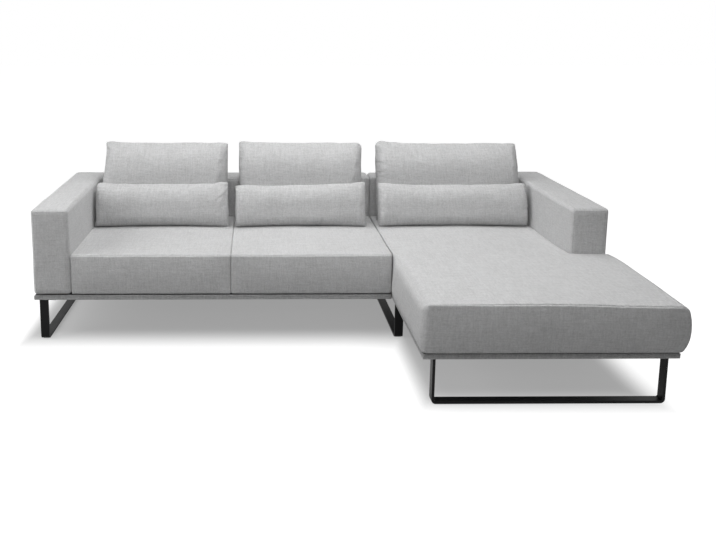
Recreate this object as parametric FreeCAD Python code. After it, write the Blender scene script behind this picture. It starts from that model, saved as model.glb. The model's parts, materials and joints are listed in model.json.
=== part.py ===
import FreeCAD, Part
import math
import os

# Driving dimensions of the corner sofa, in millimetres
# Places along X count from the left arm's outer face, along Y from the arm fronts, up from the floor

sofa_width = 2900.0          # left arm's outer face to right arm's outer face
module_depth = 1000.0        # arm fronts to the rear face
chaise_reach = 730.0         # how far the chaise runs out in front of the arms
sofa_module_width = 1818.0   # plinth of the two-seat module
module_gap = 4.0             # between the two modules
seat_split = 999.0           # joint between the left and the middle seat
arm_width = 188.0
arm_height = 682.0           # floor to the top of the arms and of the low back
back_thickness = 160.0       # low back, front to rear
edge_radius = 18.0           # rounded edges of arms and low back

leg_height = 214.0           # floor to the underside of the plinth
plinth_height = 22.0
plinth_skin = 1.5            # fabric round the plinth board
shadow_gap = 5.0             # dark line between plinth and upholstery

seam_height = 446.0          # floor to the seat's front seam
seat_crown = 12.0            # how far the seat's middle stands above its seam
seat_roll = 16.0             # rounded upper side edges of a seat
seat_swell = 8.0             # how far a seat's front bellies out
nose_pull = 13.0             # how far the front's edges are rounded inwards
even_place = 420.0           # from here backwards a seat's section stays the same
chaise_even_place = 210.0    # the same on the chaise
chaise_front_swell = 12.0    # how far the front of the chaise bellies out
chaise_right_swell = 40.0    # belly of the chaise's free right side
chaise_left_swell = 12.0      # belly of its free left side

cloth = 2.0                  # thickness of a sewn cover
ease = 0.5                   # room between a cover and what fills it
joint_gap = 0.6              # room between neighbouring upholstered units
rest_clear = 0.3             # room under a loose cushion
slide_clear = 1.0            # room behind a loose cushion
overrun = 20.0               # how far a cutting tool runs past what it cuts
cut_slack = 0.001            # faces nearer than this count as touching in the seats' cuts

# Timber and padding
board = 19.0                 # wall of a timber frame
arm_padding = 12.0
back_padding = 18.0
arm_cells = 3
back_cell_width = 420.0
seat_rail = 28.0             # width of a seat frame's rail
seat_rail_height = 90.0
seat_front_padding = 34.0    # foam in front of the front rail
seat_side_padding = 12.0     # foam beside the side rails

# Springs, clips, felt and webbing
wire = 3.6
spring_pitch_aim = 120.0     # distance aimed at between neighbouring springs
spring_reach = 24.0          # half the straight part of a spring's loop
spring_lead = 22.0           # straight end that lies on the rail
spring_bearing = 18.0        # how far that end lies on the rail
loop_aim = 24.0              # distance aimed at between neighbouring loops
clip_width = 14.0
clip_length = 10.0
clip_height = 5.2
clip_clear = 0.15
felt = 6.0
strap_width = 60.0
strap = 3.0
strap_pitch = 110.0

# Sled legs: flat steel bar
bar_width = 43.0
bar = 12.0
bend_radius = 19.0           # outside of the bar's bend
plate = 4.0                  # mounting plate under the plinth
plate_length = 96.0
plate_width = 84.0
glide = 3.0
glide_length = 44.0
glide_width = 30.0
sled_inset = 24.0            # left sled from the arm's outer face
sled_setback = 10.0          # side sleds from the arm fronts and from the rear
middle_sled_offset = 18.0    # middle sled from the edge of the chaise plinth
front_leg_inset_left = 48.0
front_leg_inset_right = 36.0
front_leg_setback = 25.0

# Fasteners
screw = 5.0                  # shank diameter of the wood screws
screw_head = 10.0
screw_head_height = 3.0
screw_room = 0.2             # room round a shank
leg_screw_length = 16.0
frame_screw_length = 52.0
screw_margin = 15.0          # from a plate's edge to the middle of its screws

# Module link: brackets on the chaise with pins that stand in bushes of the sofa board
link_plate = 5.0
link_length = 150.0
link_width = 60.0
link_overlap = 56.0          # how far a bracket lies under the sofa board
link_pin = 12.0
link_pin_height = 17.0
link_pin_room = 0.3
bush_wall = 3.0
bush_room = 0.1
link_place_shares = (0.25, 0.75)      # of the module depth

# Loose cushions
cushion_lean = 8.0                    # degrees from upright
back_cushion_top = 908.0
back_cushion_thickness = 170.0
lumbar_top = 692.0
lumbar_thickness = 122.0
cushion_gap = 30.0                    # usual room beside a cushion
back_draw = 9.0                       # how far the sides pull in between the corners
lumbar_draw = 7.0
side_taper = 62.0                     # width over which a cushion thins to its side seam
lumbar_taper = 42.0
seam_band = 10.0                      # thickness left at the side seams
# room at the left and the right end of each cushion, as shares of the cushion gap
back_margin_shares = {"left": (1.0, 1.35), "middle": (1.0, 2.0), "right": (0.8, 0.35)}
lumbar_margin_shares = {"left": (0.65, 1.0), "middle": (0.3, 2.0), "right": (0.3, 0.75)}
# height, rear face, front face and draw of a cushion's outlines, from foot to top seam
cushion_shares = (
    (-0.12, 0.015, 0.80, 0.00),
    (0.12, 0.005, 0.95, 0.60),
    (0.45, 0.000, 1.00, 1.00),
    (0.74, 0.030, 0.91, 0.70),
    (0.91, 0.150, 0.69, 0.20),
    (1.00, 0.340, 0.46, 0.00),
)
cushion_crown_share = 0.07            # crown along a cushion's front, of its thickness
round_shares = (0.70, 0.28)           # place of a rounded edge's middle point
flat_limit = 1.0                      # three points that turn less than this make a line

V = FreeCAD.Vector

# Heights and places that follow from the sizes above
plinth_top = leg_height + plinth_height
unit_bottom = plinth_top + shadow_gap
board_bottom = leg_height + plinth_skin
chaise_left = sofa_module_width + module_gap
right_arm_left = sofa_width - arm_width
back_front = module_depth - back_thickness
seat_rear = back_front - joint_gap
rail_top = plinth_top + seat_rail_height
clip_top = rail_top + clip_height
felt_top = clip_top + felt
overall_width = sofa_width + chaise_right_swell
overall_depth = module_depth + chaise_reach + chaise_front_swell
to_origin = V(-overall_width / 2, overall_depth / 2 - module_depth, 0)
lean = math.radians(cushion_lean)

saved = []


def save(name, shapes):
    """Write one node, moved so that the origin lies under the middle of the sofa."""
    solids = []
    for shape in shapes:
        solids.extend(shape.Solids)
    if len(solids) == 1:
        node = solids[0].copy()
    else:
        node = Part.makeCompound([solid.copy() for solid in solids])
    node.translate(to_origin)
    if not node.isValid():
        print("not valid:", name)
    node.exportStep("parts/" + name + ".step")
    saved.append((name, len(solids), node.Volume))


def box(x0, x1, y0, y1, z0, z1):
    return Part.makeBox(x1 - x0, y1 - y0, z1 - z0, V(x0, y0, z0))


def soft_block(x0, x1, y0, y1, z0, z1, radius):
    """Block with rounded upright and top edges and a flat foot."""
    block = box(x0, x1, y0, y1, z0, z1)
    rounded = [edge for edge in block.Edges if edge.BoundBox.ZMax > (z0 + z1) / 2]
    return block.makeFillet(radius, rounded)


def upright(x, y, z0, z1, diameter):
    """Upright cylinder."""
    return Part.makeCylinder(diameter / 2, z1 - z0, V(x, y, z0))


def bow(start, middle, end):
    """Arc through three points, or a line where they hardly turn."""
    turn = (middle - start).cross(end - start).Length
    if turn < flat_limit:
        return Part.LineSegment(start, end).toShape()
    return Part.Arc(start, middle, end).toShape()


def line(start, end):
    return Part.LineSegment(start, end).toShape()


def between(start, end, count):
    """Middles of count equal fields from start to end."""
    field = (end - start) / count
    return [start + field * (index + 0.5) for index in range(count)]


# Screws

def wood_screw(x, y, z, length):
    """Screw with its head's upper side at z and its shank going up."""
    head = upright(x, y, z - screw_head_height, z, screw_head)
    shank = upright(x, y, z - screw_head_height, z + length, screw)
    return head.fuse(shank).removeSplitter()


def screw_hole(x, y, z0, z1):
    return upright(x, y, z0, z1, screw + 2 * screw_room)


def head_hole(x, y, z0, z1):
    return upright(x, y, z0, z1, screw_head + 2 * screw_room)


def drill(shape, tools):
    return shape.cut(Part.makeCompound(tools)) if tools else shape


# Upholstered blocks: arms and low backs

def block_cover(x0, x1, y0, y1):
    outer = soft_block(x0, x1, y0, y1, unit_bottom, arm_height, edge_radius)
    inner = soft_block(x0 + cloth, x1 - cloth, y0 + cloth, y1 - cloth,
                       unit_bottom - overrun, arm_height - cloth, edge_radius - cloth)
    return outer.cut(inner)


def block_padding(x0, x1, y0, y1, padding, front_room):
    """Foam coat inside a cover, with a pocket for the frame."""
    skin = cloth + ease
    outer = soft_block(x0 + skin, x1 - skin, y0 + skin, y1 - skin,
                       unit_bottom, arm_height - skin, edge_radius - skin)
    wall = skin + padding
    pocket = box(x0 + wall, x1 - wall, y0 + wall - front_room, y1 - wall,
                 unit_bottom - overrun, arm_height - wall)
    return outer.cut(pocket)


def block_frame(x0, x1, y0, y1, padding, axis, cells):
    """Hollow timber frame with windows through axis x or y."""
    wall = cloth + ease + padding + ease
    left, right, front, rear = x0 + wall, x1 - wall, y0 + wall, y1 - wall
    top = arm_height - wall
    frame = box(left, right, front, rear, plinth_top, top)
    frame = frame.cut(box(left + board, right - board, front + board, rear - board,
                          plinth_top + board, top - board))
    windows = []
    if axis == "x":
        field = (rear - front - board) / cells
        for index in range(cells):
            start = front + board + field * index
            windows.append(box(left - overrun, right + overrun, start, start + field - board,
                               plinth_top + board, top - board))
    else:
        field = (right - left - board) / cells
        for index in range(cells):
            start = left + board + field * index
            windows.append(box(start, start + field - board, front - overrun, rear + overrun,
                               plinth_top + board, top - board))
    return drill(frame, windows)


def arm_screw_places(x0, x1):
    """Screws into the lower boards of an arm, one under each cell."""
    return [((x0 + x1) / 2, y) for y in between(board, module_depth - board, arm_cells)]


def make_arm(side, x0, x1):
    places = arm_screw_places(x0, x1)
    frame = block_frame(x0, x1, 0, module_depth, arm_padding, "x", arm_cells)
    frame = drill(frame, [screw_hole(x, y, plinth_top - overrun, plinth_top + overrun)
                          for x, y in places])
    save(side + "_arm_frame", [frame])
    save(side + "_arm_padding", [block_padding(x0, x1, 0, module_depth, arm_padding, 0)])
    save(side + "_arm_cover", [block_cover(x0, x1, 0, module_depth)])


def back_cells(x0, x1):
    return max(1, round((x1 - x0) / back_cell_width))


def back_screw_places(x0, x1):
    return [(x, back_front + back_thickness / 2) for x in between(x0, x1, back_cells(x0, x1))]


def make_back(side, x0, x1):
    places = back_screw_places(x0, x1)
    frame = block_frame(x0, x1, back_front, module_depth, back_padding, "y", back_cells(x0, x1))
    frame = drill(frame, [screw_hole(x, y, plinth_top - overrun, plinth_top + overrun)
                          for x, y in places])
    save(side + "_back_frame", [frame])
    wall = cloth + ease + back_padding + ease
    face = back_front + wall
    count = max(1, int((x1 - x0 - 2 * wall) / strap_pitch))
    straps = []
    for x in between(x0 + wall, x1 - wall, count):
        straps.append(box(x - strap_width / 2, x + strap_width / 2, face - strap, face,
                          plinth_top + board / 2, arm_height - wall - board / 2))
    save(side + "_back_webbing", straps)
    foam = block_padding(x0, x1, back_front, module_depth, back_padding, strap)
    save(side + "_back_padding", [foam])
    save(side + "_back_cover", [block_cover(x0, x1, back_front, module_depth)])


# Seats

class Seat:
    """Sizes of one seat: its outline, bellies and the notch for an arm."""

    def __init__(self, name, x0, x1, front, even, front_swell, left_swell=0.0,
                 right_swell=0.0, notch=None):
        self.name = name
        self.x0 = x0
        self.x1 = x1
        self.front = front
        self.even = even
        self.front_swell = front_swell
        self.left_swell = left_swell
        self.right_swell = right_swell
        self.notch = notch


# a seat's rounded front: place, pull-in of its edges, crown and belly, from the front backwards
nose_shares = (
    (-1.00, 1.00, 0.00, 0.85),
    (-0.40, 0.34, 0.00, 0.95),
    (1.60, 0.00, 0.06, 1.00),
)
# crown and left belly of the stretch behind it, up to where the section stays the same;
# a belly on the right keeps its full width
top_shares = (
    (0.35, 0.58, 0.90),
    (0.72, 0.92, 0.30),
    (1.00, 1.00, 0.00),
)
belly_head_share = 0.5       # how much of a belly the upper edge follows
belly_height_share = 0.55    # height of a belly's widest place


def seat_section(seat, y, inset, drop, pull, crown, left_belly, right_belly):
    """Outline across a seat: flat foot, bellied sides, rolled edges and a crowned top."""
    left = seat.x0 + inset + pull
    right = seat.x1 - inset - pull
    foot = unit_bottom + pull
    head = seam_height - inset - pull
    roll = seat_roll - min(inset, seat_roll / 2)
    belly_left = seat.left_swell * left_belly
    belly_right = seat.right_swell * right_belly
    head_left = left - belly_left * belly_head_share
    head_right = right + belly_right * belly_head_share
    height = head - foot
    middle = foot + height * belly_height_share
    corner = roll * (1 - math.sqrt(0.5))
    points = {
        "foot_left": V(left, y, foot),
        "foot_right": V(right, y, foot),
        "side_right": V(right + belly_right, y, middle),
        "edge_right": V(head_right, y, head - roll),
        "bend_right": V(head_right - corner, y, head - corner),
        "top_right": V(head_right - roll, y, head),
        "crown": V((head_left + head_right) / 2, y, head + crown),
        "top_left": V(head_left + roll, y, head),
        "bend_left": V(head_left + corner, y, head - corner),
        "edge_left": V(head_left, y, head - roll),
        "side_left": V(left - belly_left, y, middle),
    }
    edges = [
        bow(points["foot_right"], points["side_right"], points["edge_right"]),
        bow(points["edge_right"], points["bend_right"], points["top_right"]),
        bow(points["top_right"], points["crown"], points["top_left"]),
        bow(points["top_left"], points["bend_left"], points["edge_left"]),
        bow(points["edge_left"], points["side_left"], points["foot_left"]),
    ]
    if drop:
        low_left = V(left, y, foot - drop)
        low_right = V(right, y, foot - drop)
        edges.append(line(points["foot_left"], low_left))
        edges.append(line(low_left, low_right))
        edges.append(line(low_right, points["foot_right"]))
    else:
        edges.append(line(points["foot_left"], points["foot_right"]))
    return Part.Wire(edges)


def loft(sections):
    """Smooth solid through the sections, with its material on the inside."""
    form = Part.makeLoft(sections, True, False)
    if form.Volume < 0:
        form.reverse()
    return form


def seat_form(seat, inset, drop=0):
    """Form of a seat, drawn in by inset on every side but the foot, with straight sides below it."""
    nose = []
    for place, pull, crown, belly in nose_shares:
        y = seat.front + seat.front_swell * place + inset
        nose.append(seat_section(seat, y, inset, drop, nose_pull * pull, seat_crown * crown,
                                 belly, belly))
    nose_end = seat.front + seat.front_swell * nose_shares[-1][0] + inset
    top = [nose[-1]]
    for place, crown, belly in top_shares:
        y = nose_end + (seat.even - nose_end) * place
        top.append(seat_section(seat, y, inset, drop, 0, seat_crown * crown, belly, 1))
    even_part = Part.Face(top[-1]).extrude(V(0, seat_rear - inset - seat.even, 0))
    form = loft(nose).multiFuse([loft(top), even_part])
    if seat.notch is not None:
        form = form.cut(box(seat.notch - joint_gap - inset, overall_width + overrun,
                            -joint_gap - inset, module_depth, 0, arm_height))
    return form


def crown_tool(seat, lift):
    """What lies under a seat's crowned top, raised by lift."""
    section = seat_section(seat, 0, 0, 0, 0, seat_crown, 0, 1)
    body = Part.Face(section).extrude(V(0, module_depth, 0))
    deep = box(seat.x0 - overrun, seat.x1 + overrun, 0, module_depth, 0, seam_height)
    tool = body.fuse(deep)
    tool.translate(V(0, 0, lift))
    return tool


def seat_frame_fields(seat):
    """Outer limits of the frame's fields: one, or two where an arm cuts into the seat."""
    side = cloth + ease + seat_side_padding + ease
    front = seat.front + cloth + ease + seat_front_padding + ease
    rear = seat_rear - side
    left = seat.x0 + side
    right = seat.x1 - side
    if seat.notch is None:
        return [(left, right, front, rear)]
    turn = -joint_gap - side
    return [(left, right, front, turn), (left, seat.notch - joint_gap - side, turn - seat_rail, rear)]


def frame_outline(seat, growth, z0, z1):
    outline = None
    for left, right, front, rear in seat_frame_fields(seat):
        field = box(left - growth, right + growth, front - growth, rear + growth, z0, z1)
        outline = field if outline is None else outline.fuse(field)
    return outline.removeSplitter()


def sinuous_spring(length):
    """Spring along Y from the origin, with a clip on each end, lying on z = 0."""
    loops = 2 * max(1, round((length - 2 * spring_lead) / loop_aim / 2))
    radius = (length - 2 * spring_lead) / (2 * loops + 2)
    level = wire / 2
    slant = radius * math.sqrt(0.5)
    side = 1
    y = spring_lead
    edges = [line(V(0, 0, level), V(0, y, level))]
    edges.append(bow(V(0, y, level), V(radius - slant, y + slant, level),
                     V(radius, y + radius, level)))
    y += radius
    x = radius
    for index in range(loops):
        edges.append(line(V(x, y, level), V(side * spring_reach, y, level)))
        x = side * spring_reach
        edges.append(bow(V(x, y, level), V(x + side * radius, y + radius, level),
                         V(x, y + 2 * radius, level)))
        y += 2 * radius
        side = -side
    side = -side
    edges.append(line(V(x, y, level), V(side * radius, y, level)))
    edges.append(bow(V(side * radius, y, level), V(side * (radius - slant), y + radius - slant, level),
                     V(0, y + radius, level)))
    y += radius
    edges.append(line(V(0, y, level), V(0, length, level)))
    path = Part.Wire(edges)
    ring = Part.Wire([Part.makeCircle(wire / 2, V(0, 0, level), V(0, 1, 0))])
    parts = [path.makePipeShell([ring], True, False)]
    for middle in (clip_length, length - clip_length):
        clip = box(-clip_width / 2, clip_width / 2, middle - clip_length / 2,
                   middle + clip_length / 2, 0, clip_height)
        hole = Part.makeCylinder(wire / 2 + clip_clear, clip_length + 2 * overrun,
                                 V(0, middle - overrun, level), V(0, 1, 0))
        slot = box(-wire / 2 - clip_clear, wire / 2 + clip_clear, middle - overrun,
                   middle + overrun, -overrun, level)
        parts.append(clip.cut(hole).cut(slot))
    return parts


def seat_springs(seat):
    """Springs front to back in a plain seat, side to side in the two fields of the chaise."""
    springs = []
    for left, right, front, rear in seat_frame_fields(seat):
        if seat.notch is None:
            length = rear - front - 2 * seat_rail + 2 * spring_bearing
            unit = sinuous_spring(length)
            count = max(1, round((right - left - 2 * seat_rail) / spring_pitch_aim))
            for x in between(left + seat_rail, right - seat_rail, count):
                place = V(x, front + seat_rail - spring_bearing, rail_top)
                springs.extend(moved(part, place, 0) for part in unit)
        else:
            length = right - left - 2 * seat_rail + 2 * spring_bearing
            unit = sinuous_spring(length)
            count = max(1, round((rear - front - 2 * seat_rail) / spring_pitch_aim))
            for y in between(front + seat_rail, rear - seat_rail, count):
                place = V(left + seat_rail - spring_bearing, y, rail_top)
                springs.extend(moved(part, place, -90) for part in unit)
    return springs


def moved(shape, place, turn):
    """Copy turned about Z at the origin by turn degrees and then moved to a place."""
    copy = shape.copy()
    copy.rotate(V(0, 0, 0), V(0, 0, 1), turn)
    copy.translate(place)
    return copy


def seat_screw_places(seat):
    """Screws in the middle of the front and rear rails of each field."""
    places = []
    for left, right, front, rear in seat_frame_fields(seat):
        for x in (left + (right - left) / 4, right - (right - left) / 4):
            places.append((x, front + seat_rail / 2))
            places.append((x, rear - seat_rail / 2))
    return places


def make_seat(seat):
    frame = frame_outline(seat, 0, plinth_top, rail_top)
    for left, right, front, rear in seat_frame_fields(seat):
        frame = frame.cut(box(left + seat_rail, right - seat_rail, front + seat_rail,
                              rear - seat_rail, plinth_top - overrun, rail_top + overrun))
    frame = drill(frame, [screw_hole(x, y, plinth_top - overrun, screw_tip)
                          for x, y in seat_screw_places(seat)])
    save(seat.name + "_frame", [frame])
    save(seat.name + "_springs", seat_springs(seat))
    save(seat.name + "_felt", [frame_outline(seat, 0, clip_top, felt_top)])
    pocket = frame_outline(seat, ease, unit_bottom - overrun, felt_top + ease)
    save(seat.name + "_core", [seat_form(seat, cloth + ease).cut(pocket)])
    save(seat.name + "_cover", [seat_form(seat, 0).cut(seat_form(seat, cloth, overrun), cut_slack)])


# Plinths

screw_seat = board_bottom + screw_head_height + screw_room
screw_tip = screw_seat + frame_screw_length


def make_plinth(side, x0, x1, y0, y1, frame_places, leg_places, bush_places):
    """Board with its skin, and the screws that hold the units on it."""
    core = box(x0 + plinth_skin, x1 - plinth_skin, y0 + plinth_skin, y1 - plinth_skin,
               board_bottom, plinth_top)
    skin = box(x0, x1, y0, y1, leg_height, plinth_top).cut(core)
    tools = []
    for x, y in frame_places:
        tools.append(screw_hole(x, y, board_bottom, plinth_top + overrun))
        tools.append(head_hole(x, y, board_bottom - overrun, screw_seat))
    skin_tools = []
    for x, y in leg_places:
        tools.append(screw_hole(x, y, board_bottom - overrun, leg_height + leg_screw_length))
        skin_tools.append(screw_hole(x, y, leg_height - overrun, board_bottom + overrun))
    hole = link_pin + 2 * (link_pin_room + bush_wall + bush_room)
    for x, y in bush_places:
        tools.append(upright(x, y, board_bottom - overrun, plinth_top + overrun, hole))
        skin_tools.append(upright(x, y, leg_height - overrun, board_bottom + overrun, hole))
    save(side + "_plinth_board", [drill(core, tools)])
    save(side + "_plinth_cover", [drill(skin, skin_tools)])
    save(side + "_frame_screws", [wood_screw(x, y, screw_seat, frame_screw_length)
                                  for x, y in frame_places])


# Sled legs

sled_top = leg_height
bar_foot = glide


def bar_loop(length):
    """Flat bar bent to a U of the given outer length, standing in the XZ plane at y = 0."""
    inner_radius = bend_radius - bar
    outer_bend = bend_radius * (1 - math.sqrt(0.5))
    inner_bend = bar + inner_radius * (1 - math.sqrt(0.5))
    low = bar_foot
    p = [
        V(0, 0, sled_top),
        V(0, 0, low + bend_radius),
        V(outer_bend, 0, low + outer_bend),
        V(bend_radius, 0, low),
        V(length - bend_radius, 0, low),
        V(length - outer_bend, 0, low + outer_bend),
        V(length, 0, low + bend_radius),
        V(length, 0, sled_top),
        V(length - bar, 0, sled_top),
        V(length - bar, 0, low + bend_radius),
        V(length - inner_bend, 0, low + inner_bend),
        V(length - bend_radius, 0, low + bar),
        V(bend_radius, 0, low + bar),
        V(inner_bend, 0, low + inner_bend),
        V(bar, 0, low + bend_radius),
        V(bar, 0, sled_top),
    ]
    edges = [
        line(p[0], p[1]),
        bow(p[1], p[2], p[3]),
        line(p[3], p[4]),
        bow(p[4], p[5], p[6]),
        line(p[6], p[7]),
        line(p[7], p[8]),
        line(p[8], p[9]),
        bow(p[9], p[10], p[11]),
        line(p[11], p[12]),
        bow(p[12], p[13], p[14]),
        line(p[14], p[15]),
        line(p[15], p[0]),
    ]
    return Part.Face(Part.Wire(edges)).extrude(V(0, bar_width, 0))


def leg_plate(length, at_end):
    """Limits of the mounting plate over one end of a loop, in the loop's own places."""
    x0 = length - plate_length if at_end else 0
    return (x0, x0 + plate_length, 0, plate_width)


def leg_plate_screws(length):
    """Four screws in each of the two plates."""
    places = []
    for at_end in (False, True):
        x0, x1, y0, y1 = leg_plate(length, at_end)
        near = bar + screw_margin
        far = screw_margin
        for x in ((x0 + far, x1 - near) if at_end else (x0 + near, x1 - far)):
            for y in (y0 + bar_width / 2, y1 - screw_margin):
                places.append((x, y))
    return places


def sled_leg(length):
    """Loop with its two plates, drilled for the screws."""
    leg = bar_loop(length)
    for at_end in (False, True):
        x0, x1, y0, y1 = leg_plate(length, at_end)
        leg = leg.fuse(box(x0, x1, y0, y1, sled_top - plate, sled_top))
    leg = leg.removeSplitter()
    return drill(leg, [screw_hole(x, y, sled_top - plate - overrun, sled_top + overrun)
                       for x, y in leg_plate_screws(length)])


def sled_glides(length):
    pads = []
    for start in (bend_radius, length - bend_radius - glide_length):
        side = (bar_width - glide_width) / 2
        pads.append(box(start, start + glide_length, side, side + glide_width, 0, glide))
    return pads


class Leg:
    """One sled leg: its length and how its loop is turned, mirrored and placed."""

    def __init__(self, length, place, turn, mirrored=False):
        self.length = length
        self.place = place
        self.turn = turn
        self.mirrored = mirrored

    def put(self, shape):
        copy = shape.copy()
        if self.mirrored:
            copy = copy.mirror(V(0, bar_width / 2, 0), V(0, 1, 0))
        return moved(copy, self.place, self.turn)

    def point(self, x, y):
        if self.mirrored:
            y = bar_width - y
        angle = math.radians(self.turn)
        turned_x = x * math.cos(angle) - y * math.sin(angle)
        turned_y = x * math.sin(angle) + y * math.cos(angle)
        return (self.place.x + turned_x, self.place.y + turned_y)

    def screw_places(self):
        return [self.point(x, y) for x, y in leg_plate_screws(self.length)]

    def leg(self):
        return self.put(sled_leg(self.length))

    def glides(self):
        return [self.put(pad) for pad in sled_glides(self.length)]

    def screws(self):
        return [wood_screw(x, y, sled_top - plate, leg_screw_length + plate)
                for x, y in self.screw_places()]


# Link between the modules

def link_places():
    return [module_depth * share for share in link_place_shares]


def link_bracket(y):
    """Plate under both boards with an upright pin for the sofa board."""
    x0 = sofa_module_width - link_overlap
    flat = box(x0, x0 + link_length, y - link_width / 2, y + link_width / 2,
               leg_height - link_plate, leg_height)
    pin = upright(x0 + link_overlap / 2, y, leg_height - link_plate,
                  leg_height + link_pin_height, link_pin)
    bracket = flat.fuse(pin).removeSplitter()
    return drill(bracket, [screw_hole(x, y_hole, 0, leg_height + overrun)
                           for x, y_hole in link_screw_places(y)])


def link_screw_places(y):
    right = sofa_module_width - link_overlap + link_length - screw_margin
    side = link_width / 2 - screw_margin
    return [(right, y - side), (right, y + side)]


def link_bush(y):
    x = sofa_module_width - link_overlap / 2
    inside = link_pin + 2 * link_pin_room
    tube = upright(x, y, leg_height, plinth_top, inside + 2 * bush_wall)
    return tube.cut(upright(x, y, leg_height - overrun, plinth_top + overrun, inside))


# Loose cushions

def cushion_section(x0, x1, z, rear, front, taper, crown):
    """Outline round a cushion at one height: flat rear, rounded sides, crowned front."""
    middle = (rear + front) / 2
    band = min(seam_band, (front - rear) / 2) / 2
    across, deep = round_shares
    face = front - crown

    def side(x, inward):
        start = V(x + inward * taper, -rear, z)
        bend = V(x + inward * taper * (1 - across), -rear - (middle - band - rear) * deep, z)
        edge = V(x, -middle + band, z)
        far_edge = V(x, -middle - band, z)
        far_bend = V(x + inward * taper * (1 - across), -face + (face - middle - band) * deep, z)
        end = V(x + inward * taper, -face, z)
        return start, bend, edge, far_edge, far_bend, end

    a = side(x0, 1)
    b = side(x1, -1)
    edges = [
        line(a[0], b[0]),
        bow(b[0], b[1], b[2]),
        line(b[2], b[3]),
        bow(b[3], b[4], b[5]),
        bow(b[5], V((x0 + x1) / 2, -front, z), a[5]),
        bow(a[5], a[4], a[3]),
        line(a[3], a[2]),
        bow(a[2], a[1], a[0]),
    ]
    return Part.Wire(edges)


class Cushion:
    """Sizes of one loose cushion, leaning on what stands behind it."""

    def __init__(self, name, seat, x0, x1, top, thickness, draw, taper, plane_y):
        self.name = name
        self.seat = seat
        self.x0 = x0
        self.x1 = x1
        self.height = (top - seam_height) / math.cos(lean)
        self.thickness = thickness
        self.draw = draw
        self.taper = taper
        self.plane_y = plane_y

    def form(self, inset):
        """The filled form, drawn in by inset on every side."""
        sections = []
        top = self.height - inset
        for height, rear, front, draw in cushion_shares:
            pull = self.draw * draw + inset
            sections.append(cushion_section(
                self.x0 + pull, self.x1 - pull, top * height,
                self.thickness * rear + inset, self.thickness * front - inset,
                self.taper, self.thickness * cushion_crown_share * (front - rear)))
        form = loft(sections)
        form.rotate(V(0, 0, 0), V(1, 0, 0), -cushion_lean)
        form.translate(V(0, self.plane_y, seam_height))
        return form.cut(crown_tool(self.seat, rest_clear + inset))

    def make(self):
        save(self.name + "_core", [self.form(cloth + ease)])
        save(self.name + "_cover", [self.form(0).cut(self.form(cloth))])


def back_plane():
    """Where the plane behind the back cushions crosses the seam's height."""
    bend_y = back_front + edge_radius
    bend_z = arm_height - edge_radius
    off = edge_radius + slide_clear + (bend_z - seam_height) * math.sin(lean)
    return bend_y - off / math.cos(lean)


def lumbar_plane():
    return back_plane() - (back_cushion_thickness + slide_clear) / math.cos(lean)


def make_cushions(seats):
    for side, seat, left, right in seats:
        first, last = back_margin_shares[side]
        Cushion(side + "_back_cushion", seat, left + cushion_gap * first,
                right - cushion_gap * last, back_cushion_top, back_cushion_thickness,
                back_draw, side_taper, back_plane()).make()
        first, last = lumbar_margin_shares[side]
        Cushion(side + "_lumbar_cushion", seat, left + cushion_gap * first,
                right - cushion_gap * last, lumbar_top, lumbar_thickness,
                lumbar_draw, lumbar_taper, lumbar_plane()).make()


# The whole sofa

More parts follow.
